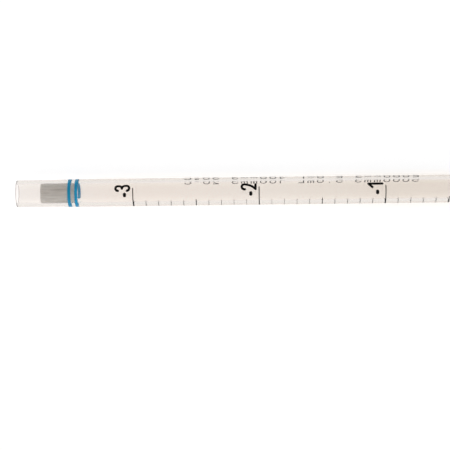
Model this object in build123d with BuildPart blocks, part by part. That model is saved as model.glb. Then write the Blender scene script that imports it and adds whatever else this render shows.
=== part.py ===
from build123d import *
import os
from math import cos, pi, radians, sin

# A 5 mL graduated pipette, drawn from one length of clear polystyrene tube, lying on its side.
# Millimetres. The axis runs along X, with the mouthpiece at -X and the tip at +X. +Z is up, and
# the origin is on the surface that the pipette lies on, under the middle of its length. Angles
# round the tube are degrees from the top, and turn by the right-hand rule about +X.

# Tube
length = 343.0  # mouthpiece rim to tip
body_r = 4.0
bore_r = 2.96
mouth_r = 3.91  # the mouthpiece is a little thinner, to enter a pipette controller
mouth_length = 13.5
mouth_cone = 1.1  # from the mouthpiece to the body
rim_round = 0.15

# Drawn tip: the cone's two corners, before rounding, are measured back from the end of the tip
nozzle_r = 1.21
nozzle_bore_r = 0.65
shoulder_back = 28.2
neck_back = 17.9
shoulder_round = 8.0
neck_round = 46.0

# Filter plug
plug_clearance = 0.04  # radial
plug_start = 7.05  # from the rim
plug_length = 10.1
plug_round = 0.35

# Print on the outside of the tube
ink = 0.03
ring_width = 0.88
ring_centres = (15.5, 17.5)  # from the rim
ring_turns = ((0, 360), (148.0, 460.0))  # where each starts and ends: the second's ends don't meet

# Scales: a mark each 0.1 mL, with zero between a negative scale and a positive one
ml_length = 1000.0 / (pi * bore_r**2)
first_volume = -3
first_mark = 33.92  # from the rim
last_tenth = 45

# Marks: width along the tube, and the angles where a mark starts and ends
negative_marks = {
    "minor": (0.08, 35, 119),
    "half": (0.18, 32, 119),
    "major": (0.28, -19, 119),
}
positive_marks = {
    "minor": (0.30, 40, 119),
    "half": (0.34, -38, 159),
    "major": (0.50, -102, 178),
}

# Lettering: width and height of the strokes' centre lines, then the stroke's width
negative_size = (1.45, 3.95, 0.68)
minus_size = (0.42, 2.50, 0.92)
positive_size = (2.10, 4.55, 0.85)
reverse_size = (0.90, 1.70, 0.30)
text_size = (1.60, 3.05, 0.36)
negative_angle = -17.5
minus_angle = 10.4
positive_angle = -50.0
reverse_angle = 169.0
text_angle = -111.0
negative_gap = 0.68  # from a numeral's foot to its mark's centre
positive_gap = 1.15
reverse_gap = 2.0
text_start = 115.5  # from the rim, and it reads towards the mouthpiece
text_pitch = 2.75
text = "5000mm3 5.0mL 100mm3 20oC"  # o is the degree sign

# Strokes in a unit box: two points make a straight stroke, and three an arc
glyphs = {
    "0": (
        ((0, 0.74), (0.5, 1), (1, 0.74)),
        ((1, 0.74), (1, 0.26)),
        ((1, 0.26), (0.5, 0), (0, 0.26)),
        ((0, 0.26), (0, 0.74)),
    ),
    "1": (((0.85, 0), (0.85, 1)), ((0.85, 1), (0.15, 0.72))),
    "2": (
        ((0, 0.78), (0.5, 1), (1, 0.74)),
        ((1, 0.74), (0.8, 0.42), (0.05, 0)),
        ((0.05, 0), (1, 0)),
    ),
    "3": (
        ((0, 0.83), (0.5, 1), (0.93, 0.76)),
        ((0.93, 0.76), (0.78, 0.58), (0.45, 0.53)),
        ((0.45, 0.53), (0.84, 0.46), (1, 0.26)),
        ((1, 0.26), (0.5, 0), (0, 0.17)),
    ),
    "4": (((0.72, 0), (0.72, 1)), ((0.72, 1), (0, 0.3)), ((0, 0.3), (1, 0.3))),
    "5": (
        ((0.95, 1), (0.12, 1)),
        ((0.12, 1), (0.02, 0.52)),
        ((0.02, 0.52), (0.7, 0.58), (1, 0.3)),
        ((1, 0.3), (0.5, 0), (0, 0.14)),
    ),
    "-": (((0, 0.5), (1, 0.5)),),
    ".": (((0.5, 0), (0.5, 0.04)),),
    "m": (
        ((0, 0), (0, 0.62)),
        ((0, 0.42), (0.25, 0.62), (0.5, 0.42)),
        ((0.5, 0.42), (0.5, 0)),
        ((0.5, 0.42), (0.75, 0.62), (1, 0.42)),
        ((1, 0.42), (1, 0)),
    ),
    "L": (((0.1, 1), (0.1, 0)), ((0.1, 0), (0.9, 0))),
    "C": (((1, 0.78), (0.55, 1), (0, 0.5)), ((0, 0.5), (0.55, 0), (1, 0.22))),
    "o": (((0.2, 0.86), (0.5, 1), (0.8, 0.86)), ((0.8, 0.86), (0.5, 0.72), (0.2, 0.86))),
}

axis_height = body_r + ink
rim_x = -length / 2
tip_x = length / 2
tube_axis = Axis((0, 0, axis_height), (1, 0, 0))


def station(volume):
    """X of the mark for a volume: the bore's section gives the length of 1 mL."""
    return rim_x + first_mark + (volume - first_volume) * ml_length


def outward(angle):
    return Vector(0, -sin(radians(angle)), cos(radians(angle)))


def half_plane(angle):
    """Plane through the axis whose Y points outwards, so a profile's Y is a radius."""
    normal = Vector(1, 0, 0).cross(outward(angle))
    return Plane(origin=(0, 0, axis_height), x_dir=(1, 0, 0), z_dir=normal)


def letter_plane(x, angle, up, drop=0):
    """Plane inside the wall, facing out, with its Y along up. A letter's foot is at its origin,
    which is dropped below the point at x and angle."""
    point = outward(angle) * 0.8 * body_r + Vector(x, 0, axis_height)
    return Plane(origin=point - up * drop, x_dir=up.cross(outward(angle)), z_dir=outward(angle))


def centre_lines(glyph, size):
    """A glyph's strokes, centred on Y, with its foot half a stroke above X."""
    width, height, stroke = size
    lines = []
    for points in glyphs[glyph]:
        placed = [((x - 0.5) * width, y * height + stroke / 2) for x, y in points]
        lines.append(Line(*placed) if len(placed) == 2 else ThreePointArc(*placed))
    return lines


def print_band(centres, width, start, end):
    """Bands of ink across the tube, from one angle to another."""
    with BuildPart() as bands:
        with BuildSketch(half_plane(start)):
            with Locations(*[(x, body_r + ink / 2) for x in centres]):
                Rectangle(width, ink)
        revolve(axis=tube_axis, revolution_arc=end - start)
    return bands


def print_letters(letters):
    """Letters of ink: prisms through the wall, cut down to the skin of ink on the tube."""
    strokes = [(centre_lines(glyph, size), size[2], plane) for glyph, size, plane in letters]
    with BuildPart() as lettering:
        for lines, stroke, plane in strokes:
            with BuildSketch(plane):
                for line in lines:
                    SlotArc(line, stroke)
        extrude(amount=0.25 * body_r)
        add(ink_skin.part, mode=Mode.INTERSECT)
    return lettering


def save(name, piece):
    piece.part.label = name
    export_step(piece.part, f"parts/{name}.step")


os.makedirs("parts", exist_ok=True)

# One drawn tube: mouthpiece, body, shoulder, cone and nozzle, with the bore right through
mouth_end = rim_x + mouth_length
cone_start = tip_x - shoulder_back
cone_end = tip_x - neck_back
rounds = [shoulder_round, neck_round]
with BuildPart() as tube:
    with BuildSketch(half_plane(0)):
        with BuildLine():
            body_line = FilletPolyline(
                (mouth_end + mouth_cone, body_r),
                (cone_start, body_r),
                (cone_end, nozzle_r),
                (tip_x, nozzle_r),
                radius=rounds,
            )
            bore_line = FilletPolyline(
                (rim_x, bore_r),
                (cone_start, bore_r),
                (cone_end, nozzle_bore_r),
                (tip_x, nozzle_bore_r),
                radius=rounds,
            )
            Line(body_line @ 1, bore_line @ 1)
            Polyline(bore_line @ 0, (rim_x, mouth_r), (mouth_end, mouth_r), body_line @ 0)
        make_face()
    revolve(axis=tube_axis)
    fillet(tube.edges().filter_by(GeomType.CIRCLE).group_by(Axis.X)[0], rim_round)
save("tube", tube)

# Fibre plug in the mouthpiece, which keeps liquid out of the controller
with BuildPart() as filter_plug:
    plug_x = rim_x + plug_start
    with BuildSketch(half_plane(0)):
        with Locations((plug_x, 0)):
            Rectangle(plug_length, bore_r - plug_clearance, align=(Align.MIN, Align.MIN))
    revolve(axis=tube_axis)
    fillet(filter_plug.edges().filter_by(GeomType.CIRCLE), plug_round)
save("filter_plug", filter_plug)

# The skin that every letter is cut from
with BuildPart() as ink_skin:
    with BuildSketch(half_plane(0)):
        with Locations((rim_x + mouth_length + mouth_cone, body_r)):
            Rectangle(length - mouth_length - shoulder_back, ink, align=(Align.MIN, Align.MIN))
    revolve(axis=tube_axis)

# Colour code: two rings at the mouthpiece
for i, (centre, turns) in enumerate(zip(ring_centres, ring_turns), 1):
    ring = print_band([rim_x + centre], ring_width, *turns)
    save(f"colour_ring_{i}", ring)

# Marks
tenths = range(10 * first_volume, last_tenth + 1)
for scale, styles in (("negative", negative_marks), ("positive", positive_marks)):
    on_scale = [t for t in tenths if (t < 0) == (scale == "negative")]
    groups = {
        "major": [t for t in on_scale if t % 10 == 0],
        "half": [t for t in on_scale if t % 10 == 5],
        "minor": [t for t in on_scale if t % 5],
    }
    for kind, group in groups.items():
        width, start, end = styles[kind]
        marks = print_band([station(t / 10) for t in group], width, start, end)
        save(f"{scale}_{kind}_marks", marks)

# Numerals, which stand on the mouthpiece side of their marks with their tops to the mouthpiece
to_mouth = Vector(-1, 0, 0)
for volume in range(first_volume, last_tenth // 10 + 1):
    digit = str(abs(volume))
    if volume < 0:
        foot = station(volume) - negative_gap
        letters = [
            (digit, negative_size, letter_plane(foot, negative_angle, to_mouth)),
            ("-", minus_size, letter_plane(foot, minus_angle, to_mouth)),
        ]
        save(f"numeral_minus_{digit}", print_letters(letters))
    else:
        foot = station(volume) - positive_gap
        letters = [(digit, positive_size, letter_plane(foot, positive_angle, to_mouth))]
        save(f"numeral_{digit}", print_letters(letters))

# Small numerals that count the other way, for the volume drawn in
for volume in range(last_tenth // 10 + 1):
    digit = str(5 - volume)
    foot = station(volume) - reverse_gap
    letters = [(digit, reverse_size, letter_plane(foot, reverse_angle, to_mouth))]
    save(f"reverse_numeral_{digit}", print_letters(letters))

# Line of text along the back: nominal volume, scale, division and temperature
text_up = Vector(1, 0, 0).cross(outward(text_angle))
text_drop = (text_size[1] + text_size[2]) / 2
letters = []
for i, glyph in enumerate(text):
    if glyph != " ":
        x = rim_x + text_start - i * text_pitch
        letters.append((glyph, text_size, letter_plane(x, text_angle, text_up, text_drop)))
save("capacity_text", print_letters(letters))
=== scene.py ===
"""Clear plastic graduated pipette: drawn tube, fibre plug, two colour rings and printed scales."""
from math import atan2, cos, degrees, hypot, pi, radians, sin, tan

import bmesh
import bpy
import numpy as np
from mathutils import Matrix, Vector, noise


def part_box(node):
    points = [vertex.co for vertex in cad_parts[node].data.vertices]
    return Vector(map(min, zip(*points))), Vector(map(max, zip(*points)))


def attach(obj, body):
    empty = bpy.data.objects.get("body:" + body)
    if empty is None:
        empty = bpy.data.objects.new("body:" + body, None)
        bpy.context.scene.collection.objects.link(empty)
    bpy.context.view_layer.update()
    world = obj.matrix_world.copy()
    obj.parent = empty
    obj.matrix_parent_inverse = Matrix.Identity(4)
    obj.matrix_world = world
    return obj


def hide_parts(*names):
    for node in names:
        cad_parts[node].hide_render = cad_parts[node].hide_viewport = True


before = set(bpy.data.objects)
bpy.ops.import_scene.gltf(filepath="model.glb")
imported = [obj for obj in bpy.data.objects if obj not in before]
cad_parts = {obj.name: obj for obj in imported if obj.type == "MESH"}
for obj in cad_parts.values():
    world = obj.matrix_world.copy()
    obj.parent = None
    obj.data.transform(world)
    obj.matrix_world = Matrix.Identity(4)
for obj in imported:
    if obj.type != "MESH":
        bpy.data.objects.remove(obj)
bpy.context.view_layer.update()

MM = 0.001

# The tube, in millimetres, as the CAD has it. Distances run from the mouthpiece's rim.
BODY_R = 4.0
BORE_R = 2.96
MOUTH_R = 3.91
MOUTH_LENGTH = 13.5
MOUTH_CONE = 1.1
RIM_ROUND = 0.15
NOZZLE_R = 1.21
NOZZLE_BORE_R = 0.65
SHOULDER_BACK = 28.2
NECK_BACK = 17.9
SHOULDER_ROUND = 8.0
NECK_ROUND = 46.0

# Scales
ML_LENGTH = 1000.0 / (pi * BORE_R**2)
FIRST_VOLUME = -3
FIRST_MARK = 33.92
LAST_TENTH = 45

tube_low, tube_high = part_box("tube")
LENGTH = (tube_high.x - tube_low.x) / MM
RIM = Vector((tube_low.x, 0, (tube_low.z + tube_high.z) / 2))  # the rim's centre, on the axis


def on_tube(along, radius, angle):
    """Point at a distance from the rim and an angle from the top, turning about +X."""
    turn = radians(angle)
    return RIM + MM * Vector((along, -radius * sin(turn), radius * cos(turn)))


# ---------------------------------------------------------------- camera

CAMERA_HEIGHT = 475.0  # above the tube's axis
CAMERA_ALONG = 71.07  # the camera is straight above this distance from the rim
PICTURE_WIDTH = 130.25  # of the tube's axis that fills the picture's width
AIM = (-10.7, -9.9)  # from straight below the camera to the picture's centre: across and up
ROLL = 0.70  # degrees that the tube rises to the right
SENSOR = 36.0
CLIP = (0.01, 50)  # metres


def make_camera():
    right = Vector((cos(radians(ROLL)), -sin(radians(ROLL)), 0))
    up = Vector((sin(radians(ROLL)), cos(radians(ROLL)), 0))
    below = on_tube(CAMERA_ALONG, 0, 0)
    place = below + Vector((0, 0, CAMERA_HEIGHT * MM))
    target = below + MM * (AIM[0] * right + AIM[1] * up)
    back = (place - target).normalized()
    side = up.cross(back).normalized()
    data = bpy.data.cameras.new("camera")
    data.sensor_width = SENSOR
    data.lens = SENSOR * CAMERA_HEIGHT / PICTURE_WIDTH
    data.clip_start, data.clip_end = CLIP
    camera = bpy.data.objects.new("camera", data)
    turn = Matrix((side, back.cross(side), back)).transposed()
    camera.matrix_world = Matrix.Translation(place) @ turn.to_4x4()
    bpy.context.scene.collection.objects.link(camera)
    bpy.context.scene.camera = camera


# ---------------------------------------------------------------- node helpers


def new_material(name):
    material = bpy.data.materials.new(name)
    material.use_nodes = True
    return material, material.node_tree, material.node_tree.nodes["Principled BSDF"]


def axes(tree, source="Object"):
    """X, Y and Z of a texture coordinate."""
    where = tree.nodes.new("ShaderNodeTexCoord")
    split = tree.nodes.new("ShaderNodeSeparateXYZ")
    tree.links.new(where.outputs[source], split.inputs["Vector"])
    return split.outputs


def object_noise(tree, scale, stretch=(1, 1, 1), detail=3.0, rough=0.5):
    """Noise fixed to the object, stretched by a scale for each axis."""
    where = tree.nodes.new("ShaderNodeTexCoord")
    mapping = tree.nodes.new("ShaderNodeMapping")
    mapping.inputs["Scale"].default_value = stretch
    texture = tree.nodes.new("ShaderNodeTexNoise")
    texture.inputs["Scale"].default_value = scale
    texture.inputs["Detail"].default_value = detail
    texture.inputs["Roughness"].default_value = rough
    tree.links.new(where.outputs["Object"], mapping.inputs["Vector"])
    tree.links.new(mapping.outputs["Vector"], texture.inputs["Vector"])
    return texture.outputs["Fac"]


def ramp(tree, value, stops):
    """Colour ramp from (position, colour) stops."""
    node = tree.nodes.new("ShaderNodeValToRGB")
    elements = node.color_ramp.elements
    while len(elements) < len(stops):
        elements.new(0.5)
    for element, (position, colour) in zip(elements, stops):
        element.position = position
        element.color = (*colour, 1)
    tree.links.new(value, node.inputs["Fac"])
    return node.outputs["Color"]


def spread(tree, value, low, high, to_low, to_high):
    """The value, taken from one range to another and held at its ends."""
    node = tree.nodes.new("ShaderNodeMapRange")
    names = ("From Min", "From Max", "To Min", "To Max")
    for name, number in zip(names, (low, high, to_low, to_high)):
        node.inputs[name].default_value = number
    tree.links.new(value, node.inputs["Value"])
    return node.outputs["Result"]


def maths(tree, operation, *values):
    node = tree.nodes.new("ShaderNodeMath")
    node.operation = operation
    for value, socket in zip(values, node.inputs):
        tree.links.new(value, socket)
    return node.outputs["Value"]


def bump(tree, shader, height, strength, distance):
    node = tree.nodes.new("ShaderNodeBump")
    node.inputs["Strength"].default_value = strength
    node.inputs["Distance"].default_value = distance
    tree.links.new(height, node.inputs["Height"])
    tree.links.new(node.outputs["Normal"], shader.inputs["Normal"])


# ---------------------------------------------------------------- materials

NOISE_RANGE = (0.3, 0.7)  # of a noise texture's values

# Polystyrene
PLASTIC_IOR = 1.59
PLASTIC_DEPTH = (0.63, 0.52, 0.41)
PLASTIC_DENSITY = 200.0
PLASTIC_ROUGHNESS = (0.015, 0.05)
CLEAR = (1, 1, 1)

# The tube's cut ends are less clear
CUT_ROUGHNESS = 0.35
CUT_COLOUR = (0.66, 0.65, 0.66)
CUT_FADE = (0.1, 0.3)  # from a cut end, where this starts to fade and where it's gone

# Ink and fibre: colours over their noise
BLUE = ((0.3, (0.0005, 0.50, 0.93)), (0.7, (0.002, 0.58, 0.98)))
BLACK = ((0.3, (0.001, 0.001, 0.0012)), (0.75, (0.006, 0.0055, 0.0055)))
FIBRE = ((0.3, (0.80, 0.785, 0.755)), (0.5, (0.90, 0.885, 0.86)), (0.72, (0.97, 0.96, 0.93)))
FIBRE_GLOW = (0.07, 0.18)  # stands in for light that comes through loose fibres


def clear_plastic():
    """Polystyrene: clear and glossy, faintly warm in its depth, with fine lengthwise die lines."""
    material, tree, shader = new_material("clear_polystyrene")
    shader.inputs["IOR"].default_value = PLASTIC_IOR
    shader.inputs["Transmission Weight"].default_value = 1.0
    depth = tree.nodes.new("ShaderNodeVolumeAbsorption")
    depth.inputs["Color"].default_value = (*PLASTIC_DEPTH, 1)
    depth.inputs["Density"].default_value = PLASTIC_DENSITY
    tree.links.new(depth.outputs["Volume"], tree.nodes["Material Output"].inputs["Volume"])
    lines = object_noise(tree, 900, stretch=(0.012, 1, 1), detail=2)
    along = axes(tree)["X"]
    fades = []
    for end, inward in ((tube_low.x, 1), (tube_high.x, -1)):
        first, last = (end + inward * distance * MM for distance in CUT_FADE)
        fades.append(spread(tree, along, first, last, 1, 0))
    cut = maths(tree, "MAXIMUM", *fades)
    polish = spread(tree, lines, *NOISE_RANGE, *PLASTIC_ROUGHNESS)
    rough = maths(tree, "MAXIMUM", polish, spread(tree, cut, 0, 1, 0, CUT_ROUGHNESS))
    tree.links.new(rough, shader.inputs["Roughness"])
    tree.links.new(ramp(tree, cut, [(0, CLEAR), (1, CUT_COLOUR)]), shader.inputs["Base Color"])
    bump(tree, shader, lines, 0.02, 0.0001)
    return material


def ink(name, scale, colours, roughness, specular, transmission=0):
    """Printing ink, in slightly uneven patches."""
    material, tree, shader = new_material(name)
    patches = object_noise(tree, scale, detail=4)
    shader.inputs["Specular IOR Level"].default_value = specular
    shader.inputs["Transmission Weight"].default_value = transmission
    tree.links.new(ramp(tree, patches, colours), shader.inputs["Base Color"])
    tree.links.new(spread(tree, patches, *NOISE_RANGE, *roughness), shader.inputs["Roughness"])
    bump(tree, shader, patches, 0.15, 0.00002)
    return material


def plug_fibre():
    """Pressed grey fibre: strands along the plug over a fine grain."""
    material, tree, shader = new_material("filter_fibre")
    strands = object_noise(tree, 2600, stretch=(0.06, 1, 1), detail=5, rough=0.65)
    tree.links.new(ramp(tree, strands, FIBRE), shader.inputs["Base Color"])
    shader.inputs["Roughness"].default_value = 0.9
    shader.inputs["Sheen Weight"].default_value = 0.25
    shader.inputs["Subsurface Weight"].default_value = 0.7
    shader.inputs["Subsurface Radius"].default_value = (1.0, 0.95, 0.9)
    shader.inputs["Subsurface Scale"].default_value = 0.0015
    shader.inputs["Emission Color"].default_value = (1, 0.97, 0.93, 1)
    glow = spread(tree, strands, 0.35, 0.65, *FIBRE_GLOW)
    tree.links.new(glow, shader.inputs["Emission Strength"])
    bump(tree, shader, strands, 0.5, 0.0001)
    return material


# ---------------------------------------------------------------- meshes


def add_object(name, mesh, material):
    piece = bpy.data.objects.new(name, mesh)
    piece.data.materials.append(material)
    bpy.context.scene.collection.objects.link(piece)
    return piece


def fillet_line(points, rounds, steps=14):
    """Line through the points, with each inner corner rounded by a tangent arc."""
    line = [points[0]]
    for before, corner, after, radius in zip(points, points[1:], points[2:], rounds):
        corner = Vector(corner)
        back = (Vector(before) - corner).normalized()
        on = (Vector(after) - corner).normalized()
        half = back.angle(on) / 2
        centre = corner + (back + on).normalized() * radius / sin(half)
        arms = [corner + way * radius / tan(half) - centre for way in (back, on)]
        first, last = (atan2(arm.y, arm.x) for arm in arms)
        sweep = (last - first + pi) % (2 * pi) - pi
        for i in range(steps + 1):
            turn = first + sweep * i / steps
            line.append(tuple(centre + radius * Vector((cos(turn), sin(turn)))))
    line.append(points[-1])
    return line


def hold_ends(profile, gap=0.05):
    """Closed profile with a point near both ends of each long run, so that it's shaded straight."""
    held = []
    for start, end in zip(profile, profile[1:] + profile[:1]):
        held.append(start)
        run = Vector(end) - Vector(start)
        if run.length > 10 * gap:
            step = run.normalized() * gap
            held += [tuple(Vector(start) + step), tuple(Vector(end) - step)]
    return held


def lathe(name, profile, material, segments=192, closed=True):
    """Solid turned from a profile of (distance from the rim, radius)."""
    made = bmesh.new()
    angles = [360 * i / segments for i in range(segments)]
    rows = []
    for along, radius in profile:
        if radius == 0:
            rows.append([made.verts.new(on_tube(along, 0, 0))] * segments)
        else:
            rows.append([made.verts.new(on_tube(along, radius, angle)) for angle in angles])
    pairs = list(zip(rows, rows[1:] + rows[:1]))
    for row, following in pairs if closed else pairs[:-1]:
        for i in range(segments):
            j = (i + 1) % segments
            corners = [row[i], row[j], following[j], following[i]]
            corners = [c for k, c in enumerate(corners) if c not in corners[:k]]
            if len(corners) > 2:
                made.faces.new(corners)
    bmesh.ops.recalc_face_normals(made, faces=made.faces)
    for face in made.faces:
        face.smooth = True
    mesh = bpy.data.meshes.new(name)
    made.to_mesh(mesh)
    made.free()
    return add_object(name, mesh, material)


def rounded_edge(radius, edge, way=-1, steps=4):
    """Quarter round from an end face to a surface at a radius, with way 1 if that's a bore."""
    turns = [radians(90 * i / steps) for i in range(steps + 1)]
    return [(edge * (1 - cos(t)), radius + way * edge * (1 - sin(t))) for t in turns]


def make_tube(material):
    shoulder, neck = LENGTH - SHOULDER_BACK, LENGTH - NECK_BACK
    rounds = [SHOULDER_ROUND, NECK_ROUND]
    body = (MOUTH_LENGTH + MOUTH_CONE, BODY_R)
    outer = [body, (shoulder, BODY_R), (neck, NOZZLE_R), (LENGTH, NOZZLE_R)]
    bore = [(0, BORE_R), (shoulder, BORE_R), (neck, NOZZLE_BORE_R), (LENGTH, NOZZLE_BORE_R)]
    profile = [(MOUTH_LENGTH, MOUTH_R)] + fillet_line(outer, rounds)
    profile += fillet_line(bore, rounds)[:0:-1]
    profile += rounded_edge(BORE_R, RIM_ROUND, 1)[::-1] + rounded_edge(MOUTH_R, RIM_ROUND)
    return lathe("clear_tube", hold_ends(profile), material)


# ---------------------------------------------------------------- print

INK_SINK = 0.02  # the ink keys into the tube's surface, so no air shows between them
INK_TOP = 0.028
EDGE_NOISE = 0.012  # how far a printed edge wanders
EDGE_SCALE = 5  # of that noise, in each millimetre
PRINT_MARGIN = 0.1  # round a shape, inside the box that it's drawn in
SWAY_MARGIN = 0.6  # the same, along the tube, for a ring that sways
LETTER_CELL = (0.055, 0.055)
MARK_CELL = 0.2  # round the tube
MARK_ROWS = 5
RING_CELL = (0.15, 0.05)

# Marks: width along the tube, and the angles where a mark starts and ends
NEGATIVE_MARKS = {"minor": (0.08, 35, 119), "half": (0.18, 32, 119), "major": (0.28, -19, 119)}
POSITIVE_MARKS = {"minor": (0.30, 40, 119), "half": (0.34, -38, 159), "major": (0.50, -102, 178)}

# Lettering: width and height of the strokes' centre lines, then the stroke's width
NEGATIVE_SIZE = (1.45, 3.95, 0.68)
MINUS_SIZE = (0.42, 2.50, 0.92)
POSITIVE_SIZE = (2.10, 4.55, 0.85)
REVERSE_SIZE = (0.90, 1.70, 0.30)
TEXT_SIZE = (1.60, 3.05, 0.36)
NEGATIVE_ANGLE = -17.5
MINUS_ANGLE = 10.4
POSITIVE_ANGLE = -50.0
REVERSE_ANGLE = 169.0
TEXT_ANGLE = -111.0
NEGATIVE_GAP = 0.68  # from a numeral's foot to its mark's centre
POSITIVE_GAP = 1.15
REVERSE_GAP = 2.0
TEXT_START = 115.5
TEXT_PITCH = 2.75
TEXT = "5000mm3 5.0mL 100mm3 20oC"  # o is the degree sign

# Strokes in a unit box: two points make a straight stroke, and three an arc
GLYPHS = {
    "0": (
        ((0, 0.74), (0.5, 1), (1, 0.74)),
        ((1, 0.74), (1, 0.26)),
        ((1, 0.26), (0.5, 0), (0, 0.26)),
        ((0, 0.26), (0, 0.74)),
    ),
    "1": (((0.85, 0), (0.85, 1)), ((0.85, 1), (0.15, 0.72))),
    "2": (
        ((0, 0.78), (0.5, 1), (1, 0.74)),
        ((1, 0.74), (0.8, 0.42), (0.05, 0)),
        ((0.05, 0), (1, 0)),
    ),
    "3": (
        ((0, 0.83), (0.5, 1), (0.93, 0.76)),
        ((0.93, 0.76), (0.78, 0.58), (0.45, 0.53)),
        ((0.45, 0.53), (0.84, 0.46), (1, 0.26)),
        ((1, 0.26), (0.5, 0), (0, 0.17)),
    ),
    "4": (((0.72, 0), (0.72, 1)), ((0.72, 1), (0, 0.3)), ((0, 0.3), (1, 0.3))),
    "5": (
        ((0.95, 1), (0.12, 1)),
        ((0.12, 1), (0.02, 0.52)),
        ((0.02, 0.52), (0.7, 0.58), (1, 0.3)),
        ((1, 0.3), (0.5, 0), (0, 0.14)),
    ),
    "-": (((0, 0.5), (1, 0.5)),),
    ".": (((0.5, 0), (0.5, 0.04)),),
    "m": (
        ((0, 0), (0, 0.62)),
        ((0, 0.42), (0.25, 0.62), (0.5, 0.42)),
        ((0.5, 0.42), (0.5, 0)),
        ((0.5, 0.42), (0.75, 0.62), (1, 0.42)),
        ((1, 0.42), (1, 0)),
    ),
    "L": (((0.1, 1), (0.1, 0)), ((0.1, 0), (0.9, 0))),
    "C": (((1, 0.78), (0.55, 1), (0, 0.5)), ((0, 0.5), (0.55, 0), (1, 0.22))),
    "o": (((0.2, 0.86), (0.5, 1), (0.8, 0.86)), ((0.8, 0.86), (0.5, 0.72), (0.2, 0.86))),
}


def station(volume):
    """Distance of a volume's mark from the rim."""
    return FIRST_MARK + (volume - FIRST_VOLUME) * ML_LENGTH


def arc_through(points, steps=12):
    """Points along the circle through three points."""
    (ax, ay), (bx, by), (cx, cy) = points
    bx, by, cx, cy = bx - ax, by - ay, cx - ax, cy - ay
    area = 2 * (bx * cy - by * cx)
    b2, c2 = bx * bx + by * by, cx * cx + cy * cy
    x, y = (cy * b2 - by * c2) / area, (bx * c2 - cx * b2) / area
    first, middle, last = atan2(-y, -x), atan2(by - y, bx - x), atan2(cy - y, cx - x)
    forward = (last - first) % (2 * pi)
    sweep = forward if (middle - first) % (2 * pi) < forward else forward - 2 * pi
    turns = [first + sweep * i / steps for i in range(steps + 1)]
    return [(ax + x + hypot(x, y) * cos(t), ay + y + hypot(x, y) * sin(t)) for t in turns]


def glyph_distance(glyph, size):
    """Distance from a glyph's edge, negative in the ink, over across and up in millimetres."""
    width, height, stroke = size
    lines = []
    for points in GLYPHS[glyph]:
        placed = [((x - 0.5) * width, y * height + stroke / 2) for x, y in points]
        lines.append(arc_through(placed) if len(placed) == 3 else placed)

    def distance(across, up):
        nearest = np.full(across.shape, np.inf)
        for line in lines:
            for (x0, y0), (x1, y1) in zip(line, line[1:]):
                dx, dy = x1 - x0, y1 - y0
                share = np.clip(((across - x0) * dx + (up - y0) * dy) / (dx * dx + dy * dy), 0, 1)
                away = np.hypot(across - x0 - share * dx, up - y0 - share * dy)
                nearest = np.minimum(nearest, away)
        return nearest - stroke / 2

    return distance


def bar_distance(width, start, end, sway=None):
    """Distance from the edge of a band across the tube, over distance round and along the tube."""
    first, last = (radians(turn) * BODY_R for turn in (start, end))

    def distance(around, along):
        centre = 0 if sway is None else sway(np.degrees(around / BODY_R))
        beyond = np.maximum(np.maximum(first + width / 2 - around, around - last + width / 2), 0)
        return np.hypot(beyond, along - centre) - width / 2

    return distance


def ink_faces(distance, low, high, cell):
    """Flat faces over the inked part of a box, cut to the line where the distance is nought."""
    counts = [max(2, round((h - l) / c)) + 1 for l, h, c in zip(low, high, cell)]
    xs, ys = (np.linspace(l, h, n) for l, h, n in zip(low, high, counts))
    grid = distance(*np.meshgrid(xs, ys, indexing="ij"))
    for i, x in enumerate(xs):
        for j, y in enumerate(ys):
            where = Vector((x * EDGE_SCALE + low[1], y * EDGE_SCALE, low[0]))
            grid[i, j] += EDGE_NOISE * noise.noise(where)
    points, index, faces = [], {}, []

    def point(a, b):
        """Index of a corner of the grid, or of the edge point between two corners."""
        if (a, b) not in index:
            share = 0 if a == b else grid[a] / (grid[a] - grid[b])
            place = [axis[m] + share * (axis[n] - axis[m]) for axis, m, n in zip((xs, ys), a, b)]
            index[a, b] = len(points)
            points.append(place)
        return index[a, b]

    for i in range(len(xs) - 1):
        for j in range(len(ys) - 1):
            corners = [(i, j), (i + 1, j), (i + 1, j + 1), (i, j + 1)]
            face = []
            for a, b in zip(corners, corners[1:] + corners[:1]):
                if grid[a] < 0:
                    face.append(point(a, a))
                if (grid[a] < 0) != (grid[b] < 0):
                    face.append(point(*sorted((a, b))))
            if len(face) > 2:
                faces.append(face)
    return points, faces


def ink_mesh(parts):
    """Mesh of ink on the tube, from (distance, low, high, cell, place) for each shape, where place
    gives a point's distance from the rim and its angle."""
    made = bmesh.new()
    for distance, low, high, cell, place in parts:
        points, faces = ink_faces(distance, low, high, cell)
        layers = []
        for radius in (BODY_R + INK_TOP, BODY_R - INK_SINK):
            places = [place(x, y) for x, y in points]
            layers.append([made.verts.new(on_tube(x, radius, angle)) for x, angle in places])
        edges = set()
        for face in faces:
            made.faces.new([layers[0][k] for k in face])
            made.faces.new([layers[1][k] for k in reversed(face)])
            edges.update(zip(face, face[1:] + face[:1]))
        for a, b in edges:
            if (b, a) not in edges:
                made.faces.new([layers[0][b], layers[0][a], layers[1][a], layers[1][b]])
    bmesh.ops.recalc_face_normals(made, faces=made.faces)
    mesh = bpy.data.meshes.new("ink")
    made.to_mesh(mesh)
    made.free()
    return mesh


def letter_box(size):
    """Two corners of the box that a glyph is drawn in."""
    width, height, stroke = size
    side = width / 2 + (stroke / 2 + PRINT_MARGIN)
    return (-side, -PRINT_MARGIN), (side, height + stroke + PRINT_MARGIN)


def letter_part(glyph, size, along, angle):
    """A glyph whose top points to the mouthpiece, with its foot at a distance from the rim."""

    def place(across, up):
        return along - up, angle - degrees(across / BODY_R)

    return glyph_distance(glyph, size), *letter_box(size), LETTER_CELL, place


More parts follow.
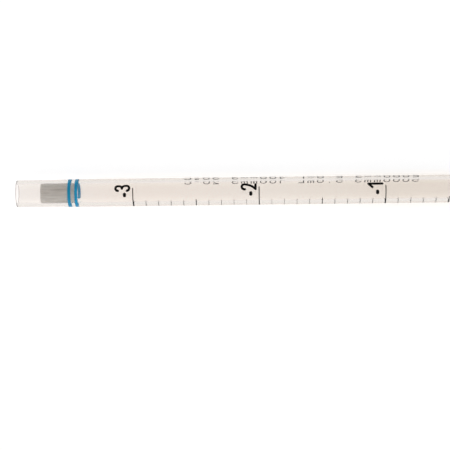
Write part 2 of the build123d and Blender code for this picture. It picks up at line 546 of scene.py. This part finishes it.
def text_part(glyph, size, along, angle):
    """A glyph that reads towards the mouthpiece, with its middle at an angle."""
    middle = (size[1] + size[2]) / 2

    def place(across, up):
        return along - across, angle + degrees((up - middle) / BODY_R)

    return glyph_distance(glyph, size), *letter_box(size), LETTER_CELL, place


def bar_part(width, start, end, centre, cell, sway=None):
    """A band across the tube, from one angle to another."""

    def place(around, along):
        return centre + along, degrees(around / BODY_R)

    first, last = (radians(turn) * BODY_R for turn in (start, end))
    reach = width / 2 + (PRINT_MARGIN if sway is None else SWAY_MARGIN)
    low, high = (first - PRINT_MARGIN, -reach), (last + PRINT_MARGIN, reach)
    return bar_distance(width, start, end, sway), low, high, cell, place


def add_print(node, material, parts):
    piece = add_object(node + "_print", ink_mesh(parts), material)
    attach(piece, "pipette")
    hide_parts(node)


def print_scales(material):
    tenths = range(10 * FIRST_VOLUME, LAST_TENTH + 1)
    for scale, styles in (("negative", NEGATIVE_MARKS), ("positive", POSITIVE_MARKS)):
        on_scale = [t for t in tenths if (t < 0) == (scale == "negative")]
        groups = {
            "minor": [t for t in on_scale if t % 5],
            "half": [t for t in on_scale if t % 10 == 5],
            "major": [t for t in on_scale if t % 10 == 0],
        }
        for kind, (width, start, end) in styles.items():
            cell = (MARK_CELL, width / MARK_ROWS)
            parts = [bar_part(width, start, end, station(t / 10), cell) for t in groups[kind]]
            add_print(f"{scale}_{kind}_marks", material, parts)


def print_numerals(material):
    for volume in range(FIRST_VOLUME, LAST_TENTH // 10 + 1):
        digit = str(abs(volume))
        if volume < 0:
            foot = station(volume) - NEGATIVE_GAP
            parts = [
                letter_part(digit, NEGATIVE_SIZE, foot, NEGATIVE_ANGLE),
                letter_part("-", MINUS_SIZE, foot, MINUS_ANGLE),
            ]
            add_print(f"numeral_minus_{digit}", material, parts)
        else:
            foot = station(volume) - POSITIVE_GAP
            part = letter_part(digit, POSITIVE_SIZE, foot, POSITIVE_ANGLE)
            add_print(f"numeral_{digit}", material, [part])
    for volume in range(LAST_TENTH // 10 + 1):
        digit = str(5 - volume)
        foot = station(volume) - REVERSE_GAP
        part = letter_part(digit, REVERSE_SIZE, foot, REVERSE_ANGLE)
        add_print(f"reverse_numeral_{digit}", material, [part])


def print_text(material):
    parts = [
        text_part(glyph, TEXT_SIZE, TEXT_START - i * TEXT_PITCH, TEXT_ANGLE)
        for i, glyph in enumerate(TEXT)
        if glyph != " "
    ]
    add_print("capacity_text", material, parts)


# Rings: each is one pass of a print wheel. The second wanders towards the tip on the far side, and
# its ends don't meet. Each has its centre, the angles where it starts and ends, and its sway.
RING_WIDTH = 0.88
RINGS = ((15.5, 178, 536, 0.03), (17.5, 148, 460, 0.19))


def print_rings(material):
    for i, (centre, start, end, most) in enumerate(RINGS, 1):

        def sway(turn, most=most):
            return most * (1 - np.cos(np.radians(turn))) / 2

        part = bar_part(RING_WIDTH, start, end, centre, RING_CELL, sway)
        add_print(f"colour_ring_{i}", material, [part])


# ---------------------------------------------------------------- filter plug

PLUG_START = 7.05
PLUG_LENGTH = 10.1
PLUG_R = 2.92
PLUG_ROUND = 0.35
PLUG_ROWS = 60
SKIN_SINK = 0.012  # mean depth of the uneven skin
SKIN_RIDGE = 0.025  # depth of its lengthwise ridges
SKIN_LUMP = 0.01  # and of its wider lumps
END_SINK = 0.06  # the same for the ends
END_LUMP = 0.08
END_SKIN = 0.1  # how far in from an end these reach
RIDGE_SCALES = Vector((250, 3000, 3000))
LUMP_SCALE = 600


def make_plug(material):
    """Pressed fibre: a turned core whose skin and ends are ridged by the strands."""
    radii = [(0, PLUG_R * share) for share in (0, 0.2, 0.4, 0.6, 0.75)]
    side = [(PLUG_LENGTH * i / PLUG_ROWS, PLUG_R) for i in range(3, PLUG_ROWS - 2)]
    front = radii + rounded_edge(PLUG_R, PLUG_ROUND)
    back = [(PLUG_LENGTH - along, radius) for along, radius in reversed(front)]
    profile = [(PLUG_START + along, radius) for along, radius in front + side + back]
    plug = lathe("fibre_plug", profile, material, 160, closed=False)
    middle = RIM + Vector(((PLUG_START + PLUG_LENGTH / 2) * MM, 0, 0))
    for vertex in plug.data.vertices:
        arm = vertex.co - middle
        out = Vector((0, arm.y, arm.z))
        ridge = noise.noise(arm * RIDGE_SCALES)
        lump = noise.noise(vertex.co * LUMP_SCALE)
        sink = SKIN_SINK + SKIN_RIDGE * ridge + SKIN_LUMP * lump
        vertex.co -= out.normalized() * MM * sink
        if abs(arm.x) > (PLUG_LENGTH / 2 - END_SKIN) * MM:
            vertex.co.x -= (1 if arm.x > 0 else -1) * MM * (END_SINK + END_LUMP * lump)
    return plug


# ---------------------------------------------------------------- stage and light

FLOOR_REACH = 6.0  # metres
FLOOR_COLOUR = (0.4, 0.4, 0.4)

# Colours of the dome from the near side, 0, over the top, 0.5, to the far side, 1
DOME = (
    (0.1, (0.82, 0.80, 0.78)),
    (0.5, (0.62, 0.60, 0.58)),
    (0.78, (0.37, 0.35, 0.33)),
    (0.9, (0.52, 0.50, 0.48)),
)
HORIZON = (0.95, 0.96, 0.965)
HORIZON_FADE = (0.09, 0.16)  # height where it starts to fade into the dome, and where it's gone

# Painted light: the floor's glow in a strip under the tube, from the mouthpiece, 0, to its reach
# past it, 1, dimmer and warmer towards the tip as painted shade
PAINTED_GLOW = (
    (0, (0.97, 0.955, 0.955)),
    (0.25, (0.943, 0.887, 0.851)),
    (0.55, (0.918, 0.88, 0.842)),
    (0.85, (0.855, 0.805, 0.75)),
)
PAINTED_GLOW_REACH = 130
AWAY_GLOW = (0.80, 0.805, 0.815)  # everywhere else on the floor
AWAY = (3.5, 6)  # from the axis or past an end: where one glow starts to be the other, and is


def make_floor():
    """White floor that glows as if lit from below, with painted light in a strip under the tube:
    its glow is stronger there, and a little dimmer and warmer under the tube's middle and tip as
    painted shade.
    """
    made = bmesh.new()
    corners = ((-1, -1, 0), (1, -1, 0), (1, 1, 0), (-1, 1, 0))
    made.faces.new([made.verts.new(FLOOR_REACH * Vector(corner)) for corner in corners])
    mesh = bpy.data.meshes.new("floor")
    made.to_mesh(mesh)
    made.free()
    material, tree, shader = new_material("floor_white")
    shader.inputs["Base Color"].default_value = (*FLOOR_COLOUR, 1)
    shader.inputs["Roughness"].default_value = 1.0
    shader.inputs["Specular IOR Level"].default_value = 0.0
    where = axes(tree)
    along = spread(tree, where["X"], tube_low.x, tube_low.x + PAINTED_GLOW_REACH * MM, 0, 1)
    sideways, lengthwise = (maths(tree, "ABSOLUTE", where[axis]) for axis in "YX")
    aside = spread(tree, sideways, *(d * MM for d in AWAY), 0, 1)
    past = spread(tree, lengthwise, *(tube_high.x + d * MM for d in AWAY), 0, 1)
    # painted light and shade: the strip's glow under the tube, mixed into the even glow of the rest
    # of the floor
    glow = tree.nodes.new("ShaderNodeMix")
    glow.data_type = "RGBA"
    share, near, far = glow.inputs[0], glow.inputs[6], glow.inputs[7]
    tree.links.new(maths(tree, "MAXIMUM", aside, past), share)
    tree.links.new(ramp(tree, along, PAINTED_GLOW), near)
    far.default_value = (*AWAY_GLOW, 1)
    tree.links.new(glow.outputs[2], shader.inputs["Emission Color"])
    shader.inputs["Emission Strength"].default_value = 1.0
    add_object("floor", mesh, material)


def make_light():
    """Pale room: a soft grey dome, darkest high on the far side, over a white horizon."""
    world = bpy.data.worlds.new("studio")
    bpy.context.scene.world = world
    world.use_nodes = True
    tree = world.node_tree
    where = axes(tree, "Generated")
    across = spread(tree, where["Y"], -1, 1, 0, 1)
    horizon = spread(tree, where["Z"], *HORIZON_FADE, 1, 0)
    room = tree.nodes["Background"]
    tree.links.new(ramp(tree, across, DOME), room.inputs["Color"])
    white = tree.nodes.new("ShaderNodeBackground")
    white.inputs["Color"].default_value = (*HORIZON, 1)
    mix = tree.nodes.new("ShaderNodeMixShader")
    tree.links.new(horizon, mix.inputs["Fac"])
    for shader, socket in zip((room, white), mix.inputs[1:]):
        tree.links.new(shader.outputs["Background"], socket)
    tree.links.new(mix.outputs["Shader"], tree.nodes["World Output"].inputs["Surface"])


# ---------------------------------------------------------------- build

make_camera()

tube = make_tube(clear_plastic())
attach(tube, "pipette")
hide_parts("tube")

plug = make_plug(plug_fibre())
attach(plug, "plug")
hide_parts("filter_plug")

blue = ink("blue_ink", 700, BLUE, roughness=(0.35, 0.55), specular=0.2, transmission=0.6)
print_rings(blue)
black = ink("black_ink", 900, BLACK, roughness=(0.4, 0.6), specular=0.1)
print_scales(black)
print_numerals(black)
print_text(black)

make_floor()
make_light()
bpy.context.scene.view_settings.view_transform = "Standard"
